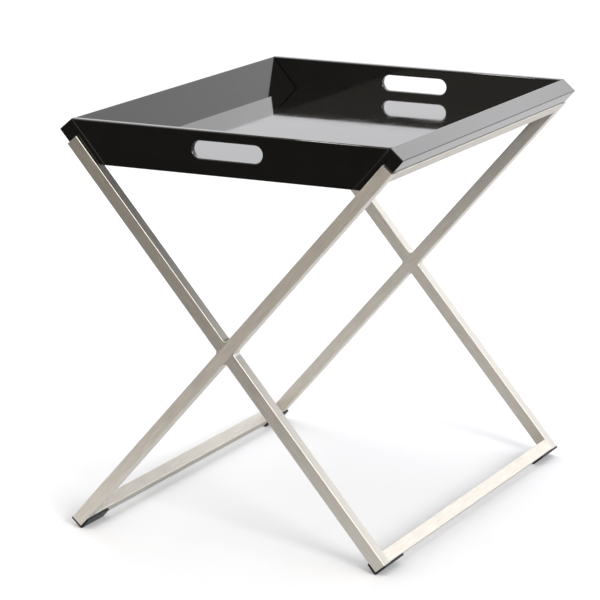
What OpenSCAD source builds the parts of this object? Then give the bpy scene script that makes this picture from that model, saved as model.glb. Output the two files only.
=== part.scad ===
// Tray table: a gloss lacquered tray that rests in a welded X-frame of square steel tube.
// X runs to the right along the front, Y to the back and Z up. The origin is on the floor,
// under the middle of the table.

/* [Frame] */
// Depth of the steel frame, front face to back face
frame_d = 560; // [300:1:900]
// Leg length from the middle of the crossing down to the foot end
leg_below = 311; // [200:0.5:500]
// Leg length from the middle of the crossing up to the top end
leg_above = 315; // [200:0.5:500]
// Slope of the legs above the floor, in degrees
leg_angle = 49.2; // [40:0.1:60]
// Outside width of the square tube
tube = 16; // [12:0.5:25]
// Wall thickness of the square tube
tube_wall = 1.5; // [1:0.1:3]
// Thickness of the plates that close the leg ends
end_plate_t = 1.5; // [1:0.1:3]
// Radius of the ground weld in each corner of the crossing
weld_r = 4; // [2:0.5:8]

/* [Corner glides] */
// Wall thickness of the moulded glides
glide_t = 2.5; // [1.5:0.1:4]
// Length of a glide along the foot
glide_len = 54; // [35:1:100]
// Height that a glide climbs up the outside of the leg
glide_climb = 13; // [8:0.5:25]
// Height of the lowest steel corner above the floor
glide_drop = 2.8; // [1.6:0.1:5]
// Diameter of the glide's moulded peg
peg_d = 5.9; // [3:0.1:8]
// Radial gap between the peg and its hole
peg_gap = 0.05; // [0.02:0.01:0.2]
// Length of the peg inside the tube
peg_reach = 5; // [3:0.5:8]

/* [Tray] */
// Distance that each end of the tray stands back from the frame's face
tray_setback = 4; // [0:0.5:40]
// Height of the tray from its lower edge to its upper edge
tray_h = 53.5; // [40:0.5:90]
// Thickness of the sloping side walls
wall_t = 7; // [5:0.5:12]
// Thickness of the front and back panels
panel_t = 8; // [6:0.5:14]
// Thickness of the floor
floor_t = 9; // [6:0.5:14]
// Height of the floor's top face above the tray's lower edge
floor_up = 13; // [10:0.5:25]
// Thickness of the rim bars, along the leg
rim_t = 20; // [12:0.5:30]
// Distance that the rim bar stands back from the leg's outer face
rim_inset = 1.4; // [0:0.1:5]
// Length of a handle slot, end to end
slot_w = 92; // [60:1:140]
// Height of a handle slot
slot_h = 21; // [15:0.5:30]
// Height of a handle slot's lower edge above the floor of the tray
slot_up = 6.8; // [2:0.1:15]

/* [Seat of the tray] */
// Thickness of the felt pads under the rim bars
pad_t = 0.7; // [0.5:0.1:3]
// Length of a felt pad
pad_len = 40; // [20:1:80]
// Distance of a felt pad from the edges of the rim bar
pad_inset = 2; // [1:0.5:4]
// Gap between a felt pad's rest face and the leg end
rest_gap = 0.1; // [0.05:0.05:0.5]
// Gap between a side wall and the inner face of the leg
wall_gap = 0.3; // [0.2:0.05:1]

/* [Brads] */
// Diameter of the hidden brads
brad_d = 1.6; // [1:0.1:2]
// Length of the brads in the panels and the floor
brad_len = 24; // [18:1:30]
// Radial gap round a brad
brad_gap = 0.05; // [0.02:0.01:0.1]
// Depth that a brad's head is set below the surface
brad_sink = 1; // [0.5:0.1:2]
// Brads in each end of the front and back panels
panel_brads_n = 3; // [1:1:4]
// Brads along each edge of the floor
floor_brads_n = 4; // [2:1:8]
// Brads along each rim bar
rim_brads_n = 5; // [2:1:9]

/* [Hidden] */

steel = [0.70, 0.68, 0.64];
lacquer = [0.03, 0.03, 0.03];
plastic = [0.05, 0.05, 0.05];
felt = [0.12, 0.12, 0.12];
brad_steel = [0.60, 0.60, 0.60];

$fn = 48;
over = 1;                                     // cutters run this far past what they cut
half = tube / 2;
front_y = -frame_d / 2;
bore = tube - 2 * tube_wall;                  // clear width inside the tube
cross_z = glide_drop + leg_below * sin(leg_angle) + half * cos(leg_angle);
far = 2 * (leg_below + leg_above);            // longer than any leg

// Along the leg frame x runs down the leg from the crossing and z across it, up and inwards.
rim_under = -leg_above - rest_gap - pad_t;    // underside of the rim bar
rim_top = rim_under - rim_t;
wall_out = half + wall_gap;                   // outer face of the side wall
wall_in = wall_out + wall_t;                  // inner face of the side wall
rim_out = -half + rim_inset;                  // outer face of the rim bar
rim_w = wall_out - rim_out;

tray_d = frame_d - 2 * tray_setback;
tray_front = -tray_d / 2;
tray_top = cross_z - rim_top * sin(leg_angle) + wall_in * cos(leg_angle);
tray_bottom = tray_top - tray_h;
floor_top = tray_bottom + floor_up;
floor_mid = floor_top - floor_t / 2;
slot_z = floor_top + slot_up + slot_h / 2;

// Half width between the inner faces of the side walls at a height above the floor
function inner_half(z) = ((z - cross_z) * cos(leg_angle) - wall_in) / sin(leg_angle);
// Place along the leg where the wall's inner face has a height above the floor
function along_leg(z) = (cross_z + wall_in * cos(leg_angle) - z) / sin(leg_angle);

peg_y = frame_d / 2 - tube - (glide_len - tube) / 2;
peg_s = leg_below - half;
brad_r = brad_d / 2;
panel_brad_y = tray_d / 2 - panel_t / 2;
brad_rise = (brad_len + brad_sink - wall_t) * cos(leg_angle);  // height gained inside the panel
brad_edge = 3;                                                 // least cover over a brad's tip
panel_brad_low = tray_bottom + brad_edge + brad_d;
panel_brad_high = tray_top - brad_rise - brad_edge;

// Evenly spaced places between two ends, kept off the ends by half a step
function spread(n, a, b) = [for (i = [0:n - 1]) a + (i + 0.5) * (b - a) / n];

// ---- Frames of reference ----

// The loop whose top is on the left and foot on the right
module loop_a() {
    translate([0, 0, cross_z]) rotate([0, leg_angle, 0]) children();
}

// The same loop mirrored: its top is on the right and foot on the left
module loop_b() {
    mirror([1, 0, 0]) loop_a() children();
}

// side "left" or "right" names the top of the loop
module loop_topped(side) {
    if (side == "left") loop_a() children();
    else loop_b() children();
}

// end "front" or "back"; children are drawn for the front
module at_end(end) {
    if (end == "front") children();
    else mirror([0, 1, 0]) children();
}

// ---- Steel frame ----

module tube_run(s0, s1) {
    translate([s0, front_y, -half])
        difference() {
            cube([s1 - s0, tube, tube]);
            translate([-over, tube_wall, tube_wall]) cube([s1 - s0 + 2 * over, bore, bore]);
        }
}

// The whole leg, from the upper right to the lower left
module leg_through(end) {
    color(steel) at_end(end) loop_b() tube_run(-leg_above, leg_below);
}

// A half leg, coped to the side of the whole leg
module leg_half(end, s0, s1) {
    color(steel) at_end(end) difference() {
        loop_a() tube_run(s0, s1);
        loop_b() translate([-far / 2, front_y - over, -half]) cube([far, tube + 2 * over, tube]);
    }
}

module rail(side, s0) {
    color(steel) loop_topped(side)
        translate([s0, front_y + tube, -half])
            difference() {
                cube([tube, frame_d - 2 * tube, tube]);
                translate([tube_wall, -over, tube_wall]) cube([bore, frame_d, bore]);
            }
}

module top_rail(side) {
    rail(side, -leg_above);
}

// The foot rail of the loop, with a hole near each end for a glide's peg
module bottom_rail(side) {
    color(steel) difference() {
        rail(side, leg_below - tube);
        for (e = ["front", "back"])
            at_end(e) loop_topped(side)
                translate([peg_s, -peg_y, -half - over])
                    cylinder(h = tube_wall + 2 * over, r = peg_d / 2 + peg_gap);
    }
}

// A plate let into the mouth of a leg, flush with its end
module end_plate(side, end, s0) {
    color(steel) at_end(end) loop_topped(side)
        translate([s0, front_y + tube_wall, -half + tube_wall]) cube([end_plate_t, bore, bore]);
}

module end_plate_top(side, end) {
    end_plate(side, end, -leg_above);
}

module end_plate_foot(side, end) {
    end_plate(side, end, leg_below - end_plate_t);
}

// The ground weld in one corner of the crossing: turn is its direction, open half its angle
module corner_weld(turn, open) {
    reach = weld_r / tan(open);
    centre = weld_r / sin(open);
    rotate(turn) translate([half / sin(open), 0])
        difference() {
            polygon([[0, 0], reach * [cos(open), sin(open)], [centre, 0], reach * [cos(open), -sin(open)]]);
            translate([centre, 0]) circle(r = weld_r);
        }
}

module cross_weld(end) {
    color(steel) at_end(end)
        translate([0, front_y + tube, cross_z]) rotate([90, 0, 0])
            for (i = [0:3])
                linear_extrude(tube) corner_weld(i * 90, i % 2 == 0 ? leg_angle : 90 - leg_angle);
}

// ---- Corner glides ----

module glide(side, end) {
    color(plastic) at_end(end) {
        difference() {
            loop_topped(side) translate([leg_below, front_y, 0]) {
                translate([0, 0, -half - glide_t]) cube([glide_t, glide_len, tube + glide_t]);
                translate([-glide_climb, 0, -half - glide_t]) cube([glide_climb, glide_len, glide_t]);
            }
            translate([-far, -far, -far]) cube([2 * far, 2 * far, far]);
        }
        loop_topped(side) translate([peg_s, -peg_y, -half - glide_t / 2])
            cylinder(h = glide_t / 2 + tube_wall + peg_reach, r = peg_d / 2);
    }
}

// ---- Brads ----

module brad(l, gap) {
    translate([0, 0, -gap]) cylinder(h = l + 2 * gap, r = brad_r + gap);
}

// Through a side wall into the end of the front or back panel
module panel_brad_set(gap) {
    for (side = ["left", "right"], y = [-panel_brad_y, panel_brad_y])
        for (z = spread(panel_brads_n, panel_brad_low, panel_brad_high))
            loop_topped(side) translate([along_leg(z), y, wall_out + brad_sink]) brad(brad_len, gap);
}

// Through the panels and the side walls into the edges of the floor
module floor_brad_set(gap) {
    edge = inner_half(floor_mid);
    for (m = [0, 1]) {
        mirror([0, m, 0])
            for (x = spread(floor_brads_n, -edge, edge))
                translate([x, tray_front + brad_sink, floor_mid]) rotate([-90, 0, 0]) brad(brad_len, gap);
        mirror([m, 0, 0])
            for (y = spread(floor_brads_n, tray_front + panel_t, -tray_front - panel_t))
                translate([edge + wall_t / sin(leg_angle) - brad_sink, y, floor_mid])
                    rotate([0, -90, 0]) brad(brad_len, gap);
    }
}

// Through a side wall, from inside the tray, into the rim bar
module rim_brad_set(gap) {
    for (side = ["left", "right"], y = spread(rim_brads_n, tray_front, -tray_front))
        loop_topped(side) translate([rim_under - rim_t / 2, y, wall_in - brad_sink])
            rotate([180, 0, 0]) brad(wall_t + rim_w - 2 * brad_sink - brad_edge, gap);
}

module panel_brads() {
    color(brad_steel) panel_brad_set(0);
}

module floor_brads() {
    color(brad_steel) floor_brad_set(0);
}

module rim_brads() {
    color(brad_steel) rim_brad_set(0);
}

// ---- Tray ----

// Everything between the inner faces of the side walls, from z0 to z1
module between_walls(y0, depth, z0, z1) {
    translate([0, y0 + depth, 0]) rotate([90, 0, 0])
        linear_extrude(depth)
            polygon([[-inner_half(z0), z0], [inner_half(z0), z0], [inner_half(z1), z1], [-inner_half(z1), z1]]);
}

module tray_floor() {
    color(lacquer) difference() {
        between_walls(tray_front + panel_t, tray_d - 2 * panel_t, floor_top - floor_t, floor_top);
        floor_brad_set(brad_gap);
    }
}

module side_wall(side) {
    color(lacquer) difference() {
        loop_topped(side) translate([rim_top, tray_front, wall_out])
            cube([far, tray_d, wall_t]);
        translate([-far, -far, tray_bottom - 2 * far]) cube(2 * far);   // lower edge cut level
        panel_brad_set(brad_gap);
        floor_brad_set(brad_gap);
        rim_brad_set(brad_gap);
    }
}

// Front and back panels have a handle slot with round ends
module end_panel(end) {
    color(lacquer) at_end(end) difference() {
        between_walls(tray_front, panel_t, tray_bottom, tray_top);
        translate([0, tray_front + panel_t + over, slot_z]) rotate([90, 0, 0])
            linear_extrude(panel_t + 2 * over) {
                square([slot_w - slot_h, slot_h], center = true);
                for (m = [-1, 1]) translate([m * (slot_w - slot_h) / 2, 0]) circle(r = slot_h / 2);
            }
        panel_brad_set(brad_gap);
        floor_brad_set(brad_gap);
    }
}

module rim_bar(side) {
    color(lacquer) difference() {
        loop_topped(side) translate([rim_top, tray_front, rim_out]) cube([rim_t, tray_d, rim_w]);
        rim_brad_set(brad_gap);
    }
}

// A felt pad under each end of a rim bar, which rests on the end of a leg and its rail
module felt_pad(side, end) {
    color(felt) at_end(end) loop_topped(side)
        translate([rim_under, tray_front + pad_inset, rim_out + pad_inset])
            cube([pad_t, pad_len, rim_w - 2 * pad_inset]);
}

// ---- What is drawn ----

leg_through("front");  // front_leg_through
leg_half("front", -leg_above, 0);  // front_leg_upper_half
leg_half("front", 0, leg_below);  // front_leg_lower_half
leg_through("back");  // back_leg_through
leg_half("back", -leg_above, 0);  // back_leg_upper_half
leg_half("back", 0, leg_below);  // back_leg_lower_half
top_rail("left");  // top_rail_left
top_rail("right");  // top_rail_right
bottom_rail("right");  // bottom_rail_left
bottom_rail("left");  // bottom_rail_right
end_plate_top("left", "front");  // end_plate_top_front_left
end_plate_top("right", "front");  // end_plate_top_front_right
end_plate_top("left", "back");  // end_plate_top_back_left
end_plate_top("right", "back");  // end_plate_top_back_right
end_plate_foot("right", "front");  // end_plate_foot_front_left
end_plate_foot("left", "front");  // end_plate_foot_front_right
end_plate_foot("right", "back");  // end_plate_foot_back_left
end_plate_foot("left", "back");  // end_plate_foot_back_right
cross_weld("front");  // front_cross_weld
cross_weld("back");  // back_cross_weld
glide("right", "front");  // glide_front_left
glide("left", "front");  // glide_front_right
glide("right", "back");  // glide_back_left
glide("left", "back");  // glide_back_right
tray_floor();
side_wall("left");  // left_wall
side_wall("right");  // right_wall
end_panel("front");  // front_panel
end_panel("back");  // back_panel
rim_bar("left");  // left_rim_bar
rim_bar("right");  // right_rim_bar
felt_pad("left", "front");  // felt_pad_front_left
felt_pad("right", "front");  // felt_pad_front_right
felt_pad("left", "back");  // felt_pad_back_left
felt_pad("right", "back");  // felt_pad_back_right
panel_brads();
floor_brads();
rim_brads();
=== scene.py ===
# %% [markdown]
# # A tray table
# A gloss black tray rests in a rigid cross-legged frame of brushed square steel tube.
# The measured model of the table is loaded first. It holds every piece at its true size and place,
# so each piece made here starts from its numbers. Lengths are in metres and Z is up.

# %% Load the measured model
import math

import bmesh
import bpy
from mathutils import Matrix, Vector


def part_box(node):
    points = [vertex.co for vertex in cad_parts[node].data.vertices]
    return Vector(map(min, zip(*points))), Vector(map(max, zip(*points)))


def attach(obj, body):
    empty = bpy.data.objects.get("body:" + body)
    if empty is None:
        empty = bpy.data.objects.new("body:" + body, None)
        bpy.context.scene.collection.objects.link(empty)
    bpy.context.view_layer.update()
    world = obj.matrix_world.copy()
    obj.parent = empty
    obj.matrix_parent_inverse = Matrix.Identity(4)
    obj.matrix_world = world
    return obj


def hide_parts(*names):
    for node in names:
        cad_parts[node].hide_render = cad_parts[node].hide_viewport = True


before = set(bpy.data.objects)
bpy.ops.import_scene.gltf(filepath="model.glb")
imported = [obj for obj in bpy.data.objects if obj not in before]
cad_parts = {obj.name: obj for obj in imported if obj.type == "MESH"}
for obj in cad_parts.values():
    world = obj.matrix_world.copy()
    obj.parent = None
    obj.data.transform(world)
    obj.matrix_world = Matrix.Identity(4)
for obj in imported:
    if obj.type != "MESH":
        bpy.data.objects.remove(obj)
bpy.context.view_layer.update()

# %% [markdown]
# ## The table's main sizes
# A leg slopes at 49.2 degrees. It is easiest to think along the leg: `s` runs down the leg from the
# middle of the crossing, and `n` runs across it, up and inwards. `place` turns such a pair into
# real X and Z. The left side of the tray and the right foot lie on the same leg, so `side` is -1
# for the leg that starts at the upper left and 1 for its mirror image.

# %% Sizes
MM = 0.001
SLOPE = math.radians(49.2)
SIN, COS = math.sin(SLOPE), math.cos(SLOPE)
TUBE = 16 * MM
HALF = TUBE / 2
TUBE_WALL = 1.5 * MM
LEG_ABOVE, LEG_BELOW = 315 * MM, 311 * MM
FRAME_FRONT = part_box("front_leg_through")[0].y
weld_low, weld_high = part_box("front_cross_weld")
CROSS_Z = (weld_low.z + weld_high.z) / 2


def place(s, n, side=-1):
    return Vector((-side * (s * COS + n * SIN), CROSS_Z - s * SIN + n * COS))


print("crossing at", round(CROSS_Z, 4), "frame depth", round(-2 * FRAME_FRONT, 4))

# %% [markdown]
# ## Small helpers
# Every node tree in this file, for shapes and for finishes alike, is built with one function that
# adds a node, fills its settings and joins its sockets. Colours are written as the hex values that a
# paint chart would give, and one function turns them into the linear light values that Blender uses.
# The other helpers hold the steps that all the finishes share: noise over the part, a blend of two
# colours, a slight relief, and the last connections to the shader.

# %% Node and colour helpers
def add_node(tree, kind, settings=None, inputs=None):
    node = tree.nodes.new(kind)
    for key, value in (settings or {}).items():
        setattr(node, key, value)
    for key, value in (inputs or {}).items():
        if isinstance(value, bpy.types.NodeSocket):
            tree.links.new(value, node.inputs[key])
        else:
            node.inputs[key].default_value = value
    return node


def paint(hex_colour):
    parts = [int(hex_colour[i:i + 2], 16) / 255 for i in (0, 2, 4)]
    return [c / 12.92 if c <= 0.04045 else ((c + 0.055) / 1.055) ** 2.4 for c in parts] + [1.0]


def new_material(name):
    material = bpy.data.materials.new(name)
    material.use_nodes = True
    tree = material.node_tree
    return material, tree, tree.nodes["Principled BSDF"]


def noise_on_part(tree, grain_size, **more):
    """Soft noise laid over the piece itself, with patches about grain_size across."""
    where = add_node(tree, "ShaderNodeTexCoord")
    return add_node(tree, "ShaderNodeTexNoise", inputs={
        "Vector": where.outputs["Object"], "Scale": 1 / grain_size, **more}).outputs[0]


def two_tone(tree, noise, low, high, colours):
    """The first colour where the noise is under low, the second where it is over high."""
    ramp = add_node(tree, "ShaderNodeValToRGB", inputs={"Fac": noise})
    for element, position, colour in zip(ramp.color_ramp.elements, (low, high), colours):
        element.position, element.color = position, paint(colour)
    return ramp.outputs[0]


def relief(tree, height_from, strength, height):
    return add_node(tree, "ShaderNodeBump", inputs={
        "Strength": strength, "Distance": height, "Height": height_from}).outputs[0]


def dress(tree, shader, links=None, **values):
    """Joins sockets to a shader's inputs and sets its plain values (underscores stand for spaces)."""
    for key, socket in (links or {}).items():
        tree.links.new(socket, shader.inputs[key])
    for key, value in values.items():
        shader.inputs[key.replace("_", " ")].default_value = value


print("helpers ready")

# %% [markdown]
# ## The camera
# A long lens keeps the legs nearly parallel. The camera stands well back, a little to the right and
# above the tray. The lens is moved down by a sixth of the picture instead of tilting the camera
# further, so upright lines stay upright.

# %% Camera
eye = Vector((1.5579, -3.3229, 1.1264))
heading, tilt, roll = (math.radians(a) for a in (25.648, -11.536, 0.378))
forward = Vector((-math.sin(heading) * math.cos(tilt), math.cos(heading) * math.cos(tilt), math.sin(tilt)))
level_right = Vector((math.cos(heading), math.sin(heading), 0))
level_up = level_right.cross(forward)
right = level_right * math.cos(roll) + level_up * math.sin(roll)
up = -level_right * math.sin(roll) + level_up * math.cos(roll)
camera = bpy.data.objects.new("camera", bpy.data.cameras.new("camera"))
bpy.context.scene.collection.objects.link(camera)
camera.matrix_world = Matrix.Translation(eye) @ Matrix((right, up, -forward)).transposed().to_4x4()
camera.data.sensor_width = 36
camera.data.lens = 179.37
camera.data.shift_y = -1 / 6
camera.data.clip_end = 50
bpy.context.scene.camera = camera
print("camera at", tuple(round(c, 3) for c in eye), "lens", camera.data.lens)

# %% [markdown]
# ## Brushed stainless steel
# The tubes are stainless steel that was drawn through a belt of fine grit, so hair-thin scratches
# run along each tube. They stretch reflections across the tube into soft bands. Blender's
# anisotropic roughness does the stretching, and it needs the direction of the scratches, which a
# UV map called `grain` gives it: U runs along the tube, in metres. Real scratches are about 0.1 mm
# wide, too fine to show here, so they are drawn 0.4 mm wide and 30 mm long. The ground welds have
# the same steel with a rounder swirl left by the grinding disc.

# %% Brushed stainless
def brushed_steel(name, across_mm, along_mm, stretch, roughness, colours):
    material, tree, shader = new_material(name)
    grain = add_node(tree, "ShaderNodeUVMap", {"uv_map": "grain"})
    scratch_space = add_node(tree, "ShaderNodeMapping", inputs={
        "Vector": grain.outputs[0], "Scale": (1 / (along_mm * MM), 1 / (across_mm * MM), 1)})
    scratches = add_node(tree, "ShaderNodeTexNoise", {"noise_dimensions": "2D"}, {
        "Vector": scratch_space.outputs[0], "Scale": 1.0, "Detail": 3.0, "Roughness": 0.6}).outputs[0]
    rough = add_node(tree, "ShaderNodeMapRange", inputs={
        "Value": scratches, "From Min": 0.3, "From Max": 0.7,
        "To Min": roughness - 0.05, "To Max": roughness + 0.06})
    direction = add_node(tree, "ShaderNodeTangent", {"direction_type": "UV_MAP", "uv_map": "grain"})
    dress(tree, shader, {
        "Base Color": two_tone(tree, scratches, 0.32, 0.68, colours),
        "Roughness": rough.outputs[0],
        "Normal": relief(tree, scratches, 0.25, 0.02 * MM),
        "Tangent": direction.outputs[0]}, Metallic=1.0, Anisotropic=stretch)
    return material


BRUSHED_STAINLESS = brushed_steel("brushed_stainless_tube", 0.4, 30, 0.8, 0.45, ("b4b0a9", "cecac4"))
GROUND_WELD = brushed_steel("ground_stainless_weld", 0.8, 3, 0.2, 0.42, ("bab5ad", "d2cec7"))
print("steel finishes", BRUSHED_STAINLESS.name, GROUND_WELD.name)

# %% [markdown]
# Plugs and brads are too small to show which way they were brushed, so their steel is only speckled.

# %% Satin steel for small parts
SATIN_STEEL, tree, shader = new_material("satin_steel_small_parts")
speckle = noise_on_part(tree, 1.5 * MM, Detail=2.0)
dress(tree, shader, {"Base Color": two_tone(tree, speckle, 0.35, 0.65, ("bab5ad", "d2cec7"))},
      Metallic=1.0, Roughness=0.42)
print("small parts are", SATIN_STEEL.name)

# %% [markdown]
# ## Square tube
# The frame is cut from one kind of square tube. Every length of it follows the same rule: a square
# with rounded corners is drawn along a straight line, and a smaller square bore is taken out. A
# small Geometry Nodes tree does this from named sizes, so ten tubes cost ten calls. Drawn tube
# has a corner radius a little under its wall thickness, here 1.1 mm outside.

# %% Node tree of one tube
TUBE_CORNER = 1.1 * MM
tube_tree = bpy.data.node_groups.new("square_tube", "GeometryNodeTree")
tube_tree.interface.new_socket("Geometry", in_out="INPUT", socket_type="NodeSocketGeometry")
for name in ("Start", "End", "Width", "Corner Radius", "Wall"):
    tube_tree.interface.new_socket(name, in_out="INPUT", socket_type="NodeSocketFloat")
tube_tree.interface.new_socket("Geometry", in_out="OUTPUT", socket_type="NodeSocketGeometry")
given = tube_tree.nodes.new("NodeGroupInput").outputs


def along_x(distance):
    return add_node(tube_tree, "ShaderNodeCombineXYZ", inputs={"X": distance}).outputs[0]


def further(distance, wall, factor):
    return add_node(tube_tree, "ShaderNodeMath", {"operation": "MULTIPLY_ADD"}, {
        0: wall, 1: factor, 2: distance}).outputs[0]


line = add_node(tube_tree, "GeometryNodeCurvePrimitiveLine", inputs={
    "Start": along_x(given["Start"]), "End": along_x(given["End"])})
square = add_node(tube_tree, "GeometryNodeCurvePrimitiveQuadrilateral", inputs={
    "Width": given["Width"], "Height": given["Width"]})
rounded = add_node(tube_tree, "GeometryNodeFilletCurve", {"mode": "POLY"}, {
    "Curve": square.outputs[0], "Radius": given["Corner Radius"], "Count": 4})
bar = add_node(tube_tree, "GeometryNodeCurveToMesh", inputs={
    "Curve": line.outputs[0], "Profile Curve": rounded.outputs[0], "Fill Caps": True})
bore_side = further(given["Width"], given["Wall"], -2)
bore_line = add_node(tube_tree, "GeometryNodeCurvePrimitiveLine", inputs={
    "Start": along_x(further(given["Start"], given["Wall"], -1)),
    "End": along_x(further(given["End"], given["Wall"], 1))})
bore_square = add_node(tube_tree, "GeometryNodeCurvePrimitiveQuadrilateral", inputs={
    "Width": bore_side, "Height": bore_side})
bore = add_node(tube_tree, "GeometryNodeCurveToMesh", inputs={
    "Curve": bore_line.outputs[0], "Profile Curve": bore_square.outputs[0], "Fill Caps": True})
tube = add_node(tube_tree, "GeometryNodeMeshBoolean", {"operation": "DIFFERENCE", "solver": "EXACT"},
                {"Mesh 1": bar.outputs[0], "Mesh 2": bore.outputs[0]})
realized = add_node(tube_tree, "GeometryNodeRealizeInstances", inputs={"Geometry": tube.outputs[0]})
finished = add_node(tube_tree, "GeometryNodeSetMaterial", inputs={
    "Geometry": realized.outputs[0], "Material": BRUSHED_STAINLESS})
tube_tree.links.new(finished.outputs[0], tube_tree.nodes.new("NodeGroupOutput").inputs[0])
print("tube tree has", len(tube_tree.nodes), "nodes")

# %% [markdown]
# A tree is run by putting it on an empty mesh as a modifier. Its inputs are set by the sockets'
# identifiers before anything looks at the result, which is then copied into a plain mesh.

# %% Run a tree into a plain mesh
def run_tree(tree, values):
    carrier = bpy.data.objects.new(tree.name, bpy.data.meshes.new(tree.name))
    bpy.context.scene.collection.objects.link(carrier)
    modifier = carrier.modifiers.new(tree.name, "NODES")
    modifier.node_group = tree
    for socket in tree.interface.items_tree:
        if socket.in_out == "INPUT" and socket.name in values:
            modifier[socket.identifier] = values[socket.name]
    mesh = bpy.data.meshes.new_from_object(carrier.evaluated_get(bpy.context.evaluated_depsgraph_get()))
    bpy.data.objects.remove(carrier)
    return mesh


def leg_matrix(side, s, y, n, along_rail=False):
    """Takes a shape drawn round the origin (X down the leg, Z across it) to its place on a leg."""
    turn = Matrix.Rotation(SLOPE, 4, "Y")
    if side > 0:
        turn = Matrix.Rotation(math.pi, 4, "Z") @ turn
    if along_rail:
        turn = turn @ Matrix.Rotation(math.pi / 2, 4, "Z")
    flat = place(s, n, side)
    return Matrix.Translation((flat.x, y, flat.y)) @ turn


print("leg axis", [round(v, 3) for v in leg_matrix(-1, 0, 0, 0).to_3x3() @ Vector((1, 0, 0))])

# %% [markdown]
# ## Cutting a tube
# Blocks and rods shape the tubes where they meet: the halves of the split leg are cut on the
# slant, and each foot rail gets two holes for its glides. Booleans do this as a saw and a drill would.

# %% Blocks, rods and plain pieces
FAR = 1.0
BORE = TUBE - 2 * TUBE_WALL
PEG_HOLE_RADIUS = 3 * MM
PEG_SIDES = 32
LEG_BACK = -FRAME_FRONT - TUBE


def cutter_object(bm, matrix):
    bm.transform(matrix)
    mesh = bpy.data.meshes.new("cutter")
    bm.to_mesh(mesh)
    bm.free()
    cutter = bpy.data.objects.new("cutter", mesh)
    bpy.context.scene.collection.objects.link(cutter)
    return cutter


def block(side, s_range, y_range, n_range):
    bm = bmesh.new()
    bmesh.ops.create_cube(bm, size=1)
    lows, highs = zip(s_range, y_range, n_range)
    bmesh.ops.scale(bm, verts=bm.verts, vec=[h - l for l, h in zip(lows, highs)])
    return cutter_object(bm, leg_matrix(side, *((l + h) / 2 for l, h in zip(lows, highs))))


def peg_rod(side, s, y):
    bm = bmesh.new()
    bmesh.ops.create_cone(bm, cap_ends=True, segments=PEG_SIDES, depth=4 * TUBE_WALL,
                          radius1=PEG_HOLE_RADIUS, radius2=PEG_HOLE_RADIUS)
    return cutter_object(bm, leg_matrix(side, s, y, -HALF))


def divide(source, keep, take):
    """A copy of the source mesh that lies inside every block of keep and outside everything in take."""
    blank = bpy.data.objects.new("blank", source)
    bpy.context.scene.collection.objects.link(blank)
    for operation, cutters in (("INTERSECT", keep), ("DIFFERENCE", take)):
        for cutter in cutters:
            modifier = blank.modifiers.new("divide", "BOOLEAN")
            modifier.operation, modifier.solver, modifier.object = operation, "EXACT", cutter
    mesh = bpy.data.meshes.new_from_object(blank.evaluated_get(bpy.context.evaluated_depsgraph_get()))
    for spare in [blank, *keep, *take]:
        bpy.data.objects.remove(spare)
    bm = bmesh.new()
    bm.from_mesh(mesh)
    bmesh.ops.remove_doubles(bm, verts=bm.verts, dist=0.001 * MM)
    return bm


def plain_piece(name, bm, material, body, node=None):
    mesh = bpy.data.meshes.new(name)
    bm.to_mesh(mesh)
    bm.free()
    piece = bpy.data.objects.new(name, mesh)
    bpy.context.scene.collection.objects.link(piece)
    mesh.materials.clear()
    mesh.materials.append(material)
    for polygon in mesh.polygons:
        polygon.material_index = 0
    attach(piece, body)
    if node:
        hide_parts(node)
    return piece


print("bore is", round(BORE / MM, 2), "mm square")

# %% [markdown]
# ## The direction of the brushing
# Each steel piece gets its `grain` map from its own axes: U along the tube, and V across it on
# whichever face the point lies. Flat faces keep flat shading and only the rounded corners blend,
# which the weighted normals see to.

# %% Grain map and shading
def map_grain(bm, side, along_rail):
    layer = bm.loops.layers.uv.get("grain") or bm.loops.layers.uv.new("grain")
    leg = Vector((-side * COS, 0, -SIN))
    across = Vector((-side * SIN, 0, COS))
    back = Vector((0, 1, 0))
    axes = [back, leg, across] if along_rail else [leg, back, across]
    for face in bm.faces:
        spread = [abs(face.normal.dot(axis)) for axis in axes]
        if spread[0] > 0.9:
            u_axis, v_axis = axes[1], axes[2]
        else:
            u_axis, v_axis = axes[0], (axes[2] if spread[1] > spread[2] else axes[1])
        for loop in face.loops:
            loop[layer].uv = (loop.vert.co.dot(u_axis), loop.vert.co.dot(v_axis))


def shade_rounded(bm, sharp_deg=40):
    bm.normal_update()
    for face in bm.faces:
        face.smooth = True
    for edge in bm.edges:
        edge.smooth = len(edge.link_faces) == 2 and edge.calc_face_angle(0) < math.radians(sharp_deg)


def add_steel(node, bm, side, along_rail, material=BRUSHED_STAINLESS):
    bmesh.ops.recalc_face_normals(bm, faces=bm.faces)
    shade_rounded(bm)
    map_grain(bm, side, along_rail)
    open_edges = sum(1 for e in bm.edges if not e.is_manifold)
    print(node, len(bm.faces), "faces,", open_edges, "open edges,", round(bm.calc_volume() * 1e6, 2), "cm3")
    piece = plain_piece("steel_" + node, bm, material, "frame", node)
    flat = piece.modifiers.new("flat faces", "WEIGHTED_NORMAL")
    flat.keep_sharp, flat.weight = True, 100


print("grain runs along each tube")

# %% [markdown]
# ## The legs and rails
# At each crossing one leg runs through and the other is cut in two. The tubes' rounded corners would
# leave a groove at every joint, which a welder fills and grinds flush. So each half leg and each rail
# reaches one corner radius further, over the rounding of the tube that it meets, and no groove shows.

# %% Legs and rails
WIDE = (-FAR, FAR)
FLUSH = TUBE_CORNER


def tube_mesh(start, end, matrix):
    mesh = run_tree(tube_tree, {
        "Start": start, "End": end, "Width": TUBE, "Corner Radius": TUBE_CORNER, "Wall": TUBE_WALL})
    mesh.transform(matrix)
    return mesh


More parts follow.
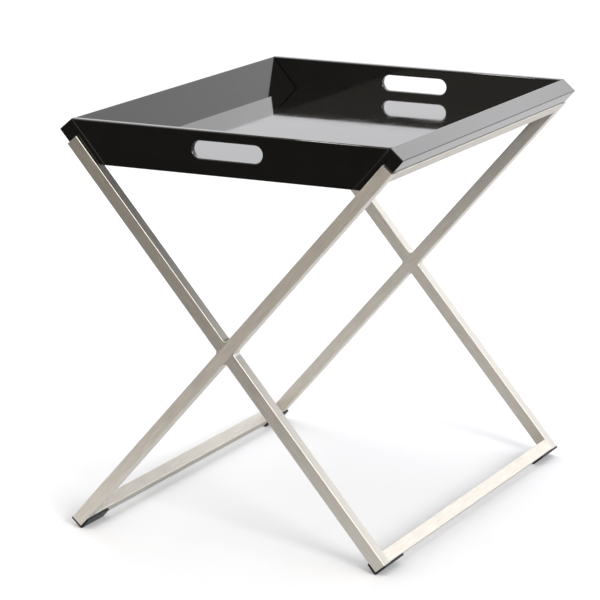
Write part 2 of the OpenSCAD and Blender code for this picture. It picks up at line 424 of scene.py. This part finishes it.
for end_name, end in (("front", -1), ("back", 1)):
    y = end * (LEG_BACK + HALF)
    through = tube_mesh(-LEG_ABOVE, LEG_BELOW, leg_matrix(1, 0, y, 0))
    add_steel(end_name + "_leg_through", divide(through, [], []), 1, False)
    for part, n_range in (("upper", (HALF - FLUSH, FAR)), ("lower", (-FAR, FLUSH - HALF))):
        whole = tube_mesh(-LEG_ABOVE, LEG_BELOW, leg_matrix(-1, 0, y, 0))
        half = divide(whole, [block(1, WIDE, WIDE, n_range)], [])
        add_steel(f"{end_name}_leg_{part}_half", half, -1, False)

GLIDE_LENGTH = 54 * MM
peg_y = -FRAME_FRONT - (GLIDE_LENGTH + TUBE) / 2
rail_half = LEG_BACK + FLUSH
for rail_end, s in (("top", -LEG_ABOVE + HALF), ("bottom", LEG_BELOW - HALF)):
    for side_name, at in (("left", -1), ("right", 1)):
        side = at if rail_end == "top" else -at
        holes = [peg_rod(side, s, y) for y in (-peg_y, peg_y)] if rail_end == "bottom" else []
        rail = tube_mesh(-rail_half, rail_half, leg_matrix(side, s, 0, 0, along_rail=True))
        add_steel(f"{rail_end}_rail_{side_name}", divide(rail, [], holes), side, True)

# %% [markdown]
# ## Weld metal
# The four inner corners of each crossing are filled with weld and ground to a 4 mm radius. Each wedge
# is drawn in layers from front to back. Near its two faces a layer shrinks back in step with the
# rounded corners of the tubes, so the rounding runs from leg to leg without a step.

# %% Weld wedges and end plates
WELD_RADIUS = 4 * MM
ARC_STEPS, ROUND_STEPS = 8, 4


def crossing_point(n_one, n_two):
    """X and Z of the point at n_one across the split leg and n_two across the through leg."""
    return Vector(((n_one - n_two) / (2 * SIN), CROSS_Z + (n_one + n_two) / (2 * COS)))


across_one, across_two = Vector((SIN, COS)), Vector((-SIN, COS))
depths = []
for step in range(ROUND_STEPS + 1):
    turn = math.pi / 2 * step / ROUND_STEPS
    depths.append((TUBE_CORNER * (1 - math.cos(turn)), TUBE_CORNER * (1 - math.sin(turn))))
layers = depths + [(TUBE - depth, recess) for depth, recess in reversed(depths)]
for end_name, end in (("front", -1), ("back", 1)):
    weld = bmesh.new()
    for sign_one in (-1, 1):
        for sign_two in (-1, 1):
            centre = crossing_point(sign_one * (HALF + WELD_RADIUS), sign_two * (HALF + WELD_RADIUS))
            rows = []
            for depth, recess in layers:
                ring = [crossing_point(sign_one * (HALF - recess), sign_two * (HALF - recess))]
                for step in range(ARC_STEPS + 1):
                    share = step / ARC_STEPS
                    toward = -(across_one * sign_one).slerp(across_two * sign_two, share)
                    ring.append(centre + toward * (WELD_RADIUS + recess))
                y = end * (LEG_BACK + TUBE - depth)
                rows.append([weld.verts.new((p.x, y, p.y)) for p in ring])
            for low, high in zip(rows, rows[1:]):
                for i in range(len(low)):
                    j = (i + 1) % len(low)
                    weld.faces.new((low[i], low[j], high[j], high[i]))
            weld.faces.new(rows[0])
            weld.faces.new(rows[-1])
    add_steel(end_name + "_cross_weld", weld, -1, False, GROUND_WELD)

for name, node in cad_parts.items():
    if name.startswith("end_plate"):
        node.data.materials.clear()
        node.data.materials.append(SATIN_STEEL)
print("end plates finished")

# %% [markdown]
# ## Gloss black lacquer
# The tray is fibreboard sprayed with black lacquer and polished. The colour is nearly black, so what
# the eye sees is reflection: faint when a face is looked at squarely and strong at a grazing
# angle. Lacquer has an index of refraction of about 1.5. Spraying leaves a very slight waviness,
# called orange peel, some 4 mm from crest to crest, and polishing leaves a trace of haze.

# %% Black lacquer
LACQUER, tree, shader = new_material("polished_black_lacquer")
peel = noise_on_part(tree, 4 * MM, Detail=1.0)
haze_noise = noise_on_part(tree, 30 * MM, Detail=3.0)
haze = add_node(tree, "ShaderNodeMapRange", inputs={
    "Value": haze_noise, "From Min": 0.35, "From Max": 0.7, "To Min": 0.04, "To Max": 0.075})
dress(tree, shader, {
    "Base Color": two_tone(tree, haze_noise, 0.3, 0.7, ("040404", "080807")),
    "Roughness": haze.outputs[0],
    "Normal": relief(tree, peel, 0.12, 0.03 * MM)}, IOR=1.5)
print("lacquer ready")

# %% [markdown]
# ## The boards of the tray
# All seven boards are straight prisms that run front to back, so each is drawn as a profile in X and
# Z and given a depth. Each corner and each end edge may be eased by its own amount: a glued and
# filled joint stays sharp, a seam that shows gets a hair of rounding on both boards, and an
# edge that hands touch is well rounded.

# %% Board maker
EASE_MAX = 4 * MM


def ease_edges(piece):
    """Rounds each edge by its own bevel weight times EASE_MAX."""
    rounding = piece.modifiers.new("eased edges", "BEVEL")
    rounding.limit_method, rounding.width, rounding.segments = "WEIGHT", EASE_MAX, 4
    rounding.use_clamp_overlap, rounding.harden_normals = False, True


def board(name, node, profile, y_front, y_back, hole=None):
    """profile: (point, ease of the corner there, ease of the end edges from there to the next
    point), counter-clockwise from the front. hole: a ring of points cut through the board,
    starting at its right-hand middle and going up."""
    bm = bmesh.new()
    weight = bm.edges.layers.float.new("bevel_weight_edge")
    count = len(profile)
    rows = [[bm.verts.new((p.x, y, p.y)) for p, _, _ in profile] for y in (y_front, y_back)]
    for i in range(count):
        j = (i + 1) % count
        bm.faces.new((rows[0][i], rows[1][i], rows[1][j], rows[0][j]))
    if hole:
        rings = [[bm.verts.new((p.x, y, p.y)) for p in hole["points"]] for y in (y_front, y_back)]
        total, half_way = len(hole["points"]), len(hole["points"]) // 2
        for i in range(total):
            j = (i + 1) % total
            bm.faces.new((rings[0][i], rings[0][j], rings[1][j], rings[1][i]))
        for row, ring_points in zip(rows, rings):
            lower = [row[i] for i in hole["lower"]] + [ring_points[0]] + ring_points[:half_way - 1:-1]
            upper = [row[i] for i in hole["upper"]] + [ring_points[i] for i in range(half_way, -1, -1)]
            bm.faces.new(lower)
            bm.faces.new(upper)
    else:
        for row in rows:
            bm.faces.new(row)
    bmesh.ops.recalc_face_normals(bm, faces=bm.faces)
    bm.edges.ensure_lookup_table()
    for i, (_, corner_ease, end_ease) in enumerate(profile):
        bm.edges.get((rows[0][i], rows[1][i]))[weight] = corner_ease / EASE_MAX
        for row in rows:
            bm.edges.get((row[i], row[(i + 1) % count]))[weight] = end_ease / EASE_MAX
    if hole:
        for ring_points in rings:
            for i in range(total):
                bm.edges.get((ring_points[i], ring_points[(i + 1) % total]))[weight] = hole["ease"] / EASE_MAX
    shade_rounded(bm)
    ease_edges(plain_piece(name, bm, LACQUER, "tray", node))
    print(name, "profile of", count, "corners")


# %% [markdown]
# The sizes across the leg come from the boards' own thicknesses. The rim bar caps the end of the leg
# and its felt pad, and the side wall lies along the inside of the leg.

# %% Tray sizes
WALL_GAP, WALL_THICK = 0.3 * MM, 7 * MM
PAD_AND_GAP, RIM_THICK, RIM_INSET = 0.8 * MM, 20 * MM, 1.4 * MM
WALL_OUT, WALL_IN = HALF + WALL_GAP, HALF + WALL_GAP + WALL_THICK
RIM_UNDER, RIM_TOP = -LEG_ABOVE - PAD_AND_GAP, -LEG_ABOVE - PAD_AND_GAP - RIM_THICK
RIM_OUT = -HALF + RIM_INSET
panel_low, panel_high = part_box("front_panel")
TRAY_FRONT, PANEL_BACK = panel_low.y, panel_high.y
TRAY_LOW, TRAY_HIGH = panel_low.z, panel_high.z
FLOOR_LOW, FLOOR_HIGH = (corner.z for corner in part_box("tray_floor"))
SEAM, EDGE, TOP_EDGE, SLOT_EDGE = 1.0 * MM, 1.0 * MM, 3 * MM, 1.5 * MM


def down_leg(z, n):
    """How far down the leg a height is reached, on the line at n across it."""
    return (CROSS_Z + n * COS - z) / SIN


def inner_half(z):
    return abs(place(down_leg(z, WALL_IN), WALL_IN).x)


print("tray from", round(TRAY_LOW, 4), "to", round(TRAY_HIGH, 4),
      "inside half width", round(inner_half(FLOOR_HIGH), 4))

# %% Side walls and rim bars
for side_name, side in (("left", -1), ("right", 1)):
    low_out, low_in = down_leg(TRAY_LOW, WALL_OUT), down_leg(TRAY_LOW, WALL_IN)
    wall = [(place(RIM_TOP, WALL_OUT, side), 0, 0), (place(RIM_UNDER, WALL_OUT, side), 0, EDGE),
            (place(low_out, WALL_OUT, side), EDGE, EDGE), (place(low_in, WALL_IN, side), SEAM, SEAM),
            (place(RIM_TOP, WALL_IN, side), EDGE, EDGE)]
    board(f"tray_{side_name}_wall", f"{side_name}_wall", wall, TRAY_FRONT, -TRAY_FRONT)
    bar = [(place(RIM_TOP, RIM_OUT, side), EDGE, EDGE), (place(RIM_UNDER, RIM_OUT, side), EDGE, EDGE),
           (place(RIM_UNDER, WALL_OUT, side), 0, 0), (place(RIM_TOP, WALL_OUT, side), 0, EDGE)]
    board(f"tray_{side_name}_rim_bar", f"{side_name}_rim_bar", bar, TRAY_FRONT, -TRAY_FRONT)

# %% Floor, and the end panels with their hand slots
floor_corners = [Vector((-inner_half(FLOOR_LOW), FLOOR_LOW)), Vector((inner_half(FLOOR_LOW), FLOOR_LOW)),
                 Vector((inner_half(FLOOR_HIGH), FLOOR_HIGH)), Vector((-inner_half(FLOOR_HIGH), FLOOR_HIGH))]
board("tray_floor_board", "tray_floor", [(p, 0, 0) for p in floor_corners], PANEL_BACK, -PANEL_BACK)

SLOT_LENGTH, SLOT_HEIGHT, SLOT_UP = 92 * MM, 21 * MM, 6.8 * MM
slot_middle = FLOOR_HIGH + SLOT_UP + SLOT_HEIGHT / 2
slot_round, slot_straight = SLOT_HEIGHT / 2, SLOT_LENGTH - SLOT_HEIGHT
STEPS = 20
slot_ring = []
for centre_sign in (1, -1):
    for step in range(STEPS + 1):
        turn = math.pi * (step / STEPS - 0.5) + (0 if centre_sign > 0 else math.pi)
        slot_ring.append(Vector((centre_sign * slot_straight / 2 + slot_round * math.cos(turn),
                                 slot_middle + slot_round * math.sin(turn))))
slot_ring = slot_ring[STEPS // 2:] + slot_ring[:STEPS // 2]
for end_name, end in (("front", -1), ("back", 1)):
    half_low, half_mid, half_high = (inner_half(z) for z in (TRAY_LOW, slot_middle, TRAY_HIGH))
    panel = [(Vector((-half_mid, slot_middle)), 0, SEAM), (Vector((-half_low, TRAY_LOW)), 0, EDGE),
             (Vector((half_low, TRAY_LOW)), 0, SEAM), (Vector((half_mid, slot_middle)), 0, SEAM),
             (Vector((half_high, TRAY_HIGH)), 0, TOP_EDGE), (Vector((-half_high, TRAY_HIGH)), 0, SEAM)]
    hole = {"points": slot_ring, "ease": SLOT_EDGE, "lower": [0, 1, 2, 3], "upper": [3, 4, 5, 0]}
    y_front, y_back = (TRAY_FRONT, PANEL_BACK) if end < 0 else (-PANEL_BACK, -TRAY_FRONT)
    board(f"tray_{end_name}_panel", f"{end_name}_panel", panel, y_front, y_back, hole)

# %% [markdown]
# ## Corner glides
# Each foot stands in a moulded black plastic shoe that wraps the lowest corner of the tube. Moulded
# plastic has softly rounded edges and a fine, even texture from its mould.

# %% Moulded plastic and glides
PLASTIC, tree, shader = new_material("moulded_black_polyethylene")
mould = noise_on_part(tree, 0.6 * MM, Detail=2.0)
dress(tree, shader, {
    "Base Color": two_tone(tree, mould, 0.3, 0.7, ("030303", "090909")),
    "Normal": relief(tree, mould, 0.3, 0.05 * MM)},
    Roughness=0.4, IOR=1.5, Specular_IOR_Level=0.25)
print("glides are", PLASTIC.name)

# %% [markdown]
# A shoe is an L that laps the lowest corner of the tube: one leg of the L lies under the end of the
# tube and one lies on its outer side. The corner that would touch the floor first is cut level, and a
# round peg presses into the rail. Corners that hands or floors can meet are rounded most.

# %% Shoe
SHOE_WALL, SHOE_CLIMB = 2.5 * MM, 13 * MM
PEG_RADIUS, PEG_REACH, PEG_TAPER = 2.95 * MM, 5 * MM, 0.9
SHOE_END_EASE = 0.8 * MM


def shoe_mesh(end):
    bm = bmesh.new()
    weight = bm.edges.layers.float.new("bevel_weight_edge")
    end_face, outer_face = LEG_BELOW + SHOE_WALL, -HALF - SHOE_WALL
    level_on_end = (end_face * SIN - CROSS_Z) / COS
    level_on_side = (CROSS_Z + outer_face * COS) / SIN
    profile = [(LEG_BELOW - SHOE_CLIMB, outer_face), (level_on_side, outer_face), (end_face, level_on_end),
               (end_face, HALF), (LEG_BELOW, HALF), (LEG_BELOW, -HALF), (LEG_BELOW - SHOE_CLIMB, -HALF)]
    y_out, y_in = end * -FRAME_FRONT, end * (-FRAME_FRONT - GLIDE_LENGTH)
    rows = [[bm.verts.new((s, y, n)) for s, n in profile] for y in (y_out, y_in)]
    for i in range(len(profile)):
        j = (i + 1) % len(profile)
        bm.faces.new((rows[0][i], rows[0][j], rows[1][j], rows[1][i]))
    for row in rows:
        bm.faces.new(row)
    # The two inner faces, which touch the tube, start at corners 4 and 5 and stay sharp.
    for i, ease_mm in enumerate((1.0, 0.7, 0.7, 1.0, 0.0, 0.0, 0.0)):
        bm.edges.get((rows[0][i], rows[1][i]))[weight] = ease_mm * MM / EASE_MAX
        for row in rows:
            if i not in (4, 5):
                bm.edges.get((row[i], row[(i + 1) % len(profile)]))[weight] = SHOE_END_EASE / EASE_MAX
    # The two free tips on the inner end are rounded most.
    bm.edges.get((rows[1][0], rows[1][6]))[weight] = 1.0
    bm.edges.get((rows[1][3], rows[1][4]))[weight] = 2 * MM / EASE_MAX
    bmesh.ops.recalc_face_normals(bm, faces=bm.faces)
    return bm


for side_name, at in (("left", -1), ("right", 1)):
    for end_name, end in (("front", -1), ("back", 1)):
        side = -at
        shoe = shoe_mesh(end)
        bmesh.ops.create_cone(
            shoe, cap_ends=True, segments=PEG_SIDES, radius1=PEG_RADIUS, radius2=PEG_RADIUS * PEG_TAPER,
            depth=PEG_REACH,
            matrix=Matrix.Translation((LEG_BELOW - HALF, end * peg_y, -HALF + PEG_REACH / 2)))
        turn = leg_matrix(side, 0, 0, 0).to_3x3().to_4x4()
        if side > 0:
            turn = turn @ Matrix.Scale(-1, 4, (0, 1, 0))
        shoe.transform(Matrix.Translation((0, 0, CROSS_Z)) @ turn)
        bmesh.ops.recalc_face_normals(shoe, faces=shoe.faces)
        shade_rounded(shoe)
        piece = plain_piece(f"shoe_{end_name}_{side_name}", shoe, PLASTIC, "frame",
                            f"glide_{end_name}_{side_name}")
        ease_edges(piece)
        print(piece.name, len(piece.data.polygons), "faces")

# %% [markdown]
# ## Felt pads and brads
# A thin felt pad is glued under each end of a rim bar, where the tray rests on the leg. Felt is
# a mat of short fibres with no weave, so its finish is a soft, blotchy black with a faint sheen. A pad
# is a strip cut from a sheet, with rounded corners. The brads are hidden in the boards.

# %% Felt and brad finishes
FELT, tree, shader = new_material("pressed_wool_felt")
fibres = noise_on_part(tree, 0.8 * MM, Detail=4.0, Roughness=0.7)
dress(tree, shader, {
    "Base Color": two_tone(tree, fibres, 0.3, 0.7, ("1b1b1c", "333335")),
    "Normal": relief(tree, fibres, 0.8, 0.2 * MM)}, Roughness=0.95, Sheen_Weight=0.3)

PAD_CORNER = 3 * MM
for name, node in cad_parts.items():
    if name.startswith("felt_pad"):
        pad = bmesh.new()
        pad.from_mesh(node.data)
        bmesh.ops.remove_doubles(pad, verts=pad.verts, dist=0.01 * MM)
        bmesh.ops.dissolve_limit(pad, angle_limit=math.radians(1), verts=pad.verts, edges=pad.edges)
        short = [e for e in pad.edges if e.calc_length() < 1 * MM]
        bmesh.ops.bevel(pad, geom=short, offset=PAD_CORNER, offset_type="OFFSET", segments=6,
                        profile=0.5, affect="EDGES")
        shade_rounded(pad)
        corner = name.removeprefix("felt_pad_")
        piece = plain_piece("felt_" + corner, pad, FELT, "tray", name)
        bar = bpy.data.objects[f"tray_{'left' if 'left' in name else 'right'}_rim_bar"]
    elif name.endswith("brads"):
        node.data.materials.clear()
        node.data.materials.append(SATIN_STEEL)
print("pads and brads done")

# %% [markdown]
# ## Floor and surroundings
# The table stands on a pale matt floor. Bright walls of light behind it and to its right are what
# the lacquer mirrors at a grazing angle and what makes the sides of the tubes shine. The room behind
# the camera is dark low down, which keeps the front of the tray black, and light towards its ceiling,
# and everything in it is slightly warm. The walls are not objects: the light of the surroundings is
# graded by direction, so nothing stands in the way of any view.

# %% Floor
floor_material, tree, shader = new_material("pale_studio_floor")
mottle = noise_on_part(tree, 333 * MM, Detail=3.0)
dress(tree, shader, {"Base Color": two_tone(tree, mottle, 0.3, 0.7, ("c5c7ca", "c9cbce"))},
      Roughness=0.9, Specular_IOR_Level=0.0)

FLOOR_RADIUS, FLOOR_CENTRE = 2.0, (0.3, 1.3)
disc = bmesh.new()
bmesh.ops.create_circle(disc, cap_ends=True, segments=96, radius=FLOOR_RADIUS,
                        matrix=Matrix.Translation((*FLOOR_CENTRE, 0)))
floor_mesh = bpy.data.meshes.new("studio_floor")
disc.to_mesh(floor_mesh)
disc.free()
floor_object = bpy.data.objects.new("studio_floor", floor_mesh)
bpy.context.scene.collection.objects.link(floor_object)
floor_mesh.materials.append(floor_material)
print("floor laid, nearest edge at y", round(FLOOR_CENTRE[1] - FLOOR_RADIUS, 2))

# %% Surroundings
world = bpy.data.worlds.new("studio")
bpy.context.scene.world = world
world.use_nodes = True
tree = world.node_tree
sky = tree.nodes["Background"]
where = add_node(tree, "ShaderNodeTexCoord")
axes = add_node(tree, "ShaderNodeSeparateXYZ", inputs={0: where.outputs["Generated"]})


def fade(axis, start, stop, low, high):
    return add_node(tree, "ShaderNodeMapRange", {"interpolation_type": "SMOOTHSTEP"}, {
        "Value": axes.outputs[axis], "From Min": start, "From Max": stop,
        "To Min": low, "To Max": high}).outputs[0]


def combine(operation, a, b):
    return add_node(tree, "ShaderNodeMath", {"operation": operation}, {0: a, 1: b}).outputs[0]


BACKDROP = 1.1  # the plain white that the camera itself sees
wall_low = fade("Z", 0.22, 0.34, 1.45, 0.95)
wall_high = combine("MULTIPLY", fade("Z", 0.3, 0.39, 0.0, 2.05), fade("X", 0.23, 0.15, 0.0, 1.0))
wall_behind = combine("MULTIPLY", fade("Y", -0.05, 0.45, 0.0, 1.0), combine("ADD", wall_low, wall_high))
wall_right = combine("MULTIPLY", fade("X", 0.3, 0.7, 0.0, 1.65), fade("Z", -0.15, 0.1, 0.4, 1.0))
room_in_front = fade("Z", -0.08, 0.3, 0.14, 1.5)
light = combine("MAXIMUM", combine("MAXIMUM", wall_behind, wall_right), room_in_front)
seen = add_node(tree, "ShaderNodeLightPath").outputs["Is Camera Ray"]
shown = add_node(tree, "ShaderNodeMix", {"data_type": "FLOAT"}, {0: seen, 2: light, 3: BACKDROP})
tree.links.new(shown.outputs[0], sky.inputs["Strength"])
cool = combine("MAXIMUM", fade("Y", -0.4, 0.2, 0.0, 1.0), seen)
tint = two_tone(tree, cool, 0.0, 1.0, ("fff6ea", "fdfdff"))
tree.links.new(tint, sky.inputs["Color"])
print("surroundings ready")

# %% [markdown]
# One large, soft lamp stands to the front right, fairly low. Its light passes under the tray, so the
# tray throws no shadow beside the table. The foot of each leg draws a short shadow that runs to the
# back left and fades as the leg rises.

# %% Lamp
lamp = bpy.data.lights.new("key_front_right", "SUN")
lamp.energy, lamp.angle = 2.9, math.radians(20)
holder = bpy.data.objects.new("key_front_right", lamp)
bpy.context.scene.collection.objects.link(holder)
to_lamp = Vector((1.8, -1.35, 1.0))
holder.rotation_euler = (-to_lamp).to_track_quat("-Z", "Y").to_euler()
bpy.context.scene.view_settings.view_transform = "Standard"
print("lamp stands", round(math.degrees(math.atan2(to_lamp.z, to_lamp.xy.length)), 1), "degrees high")
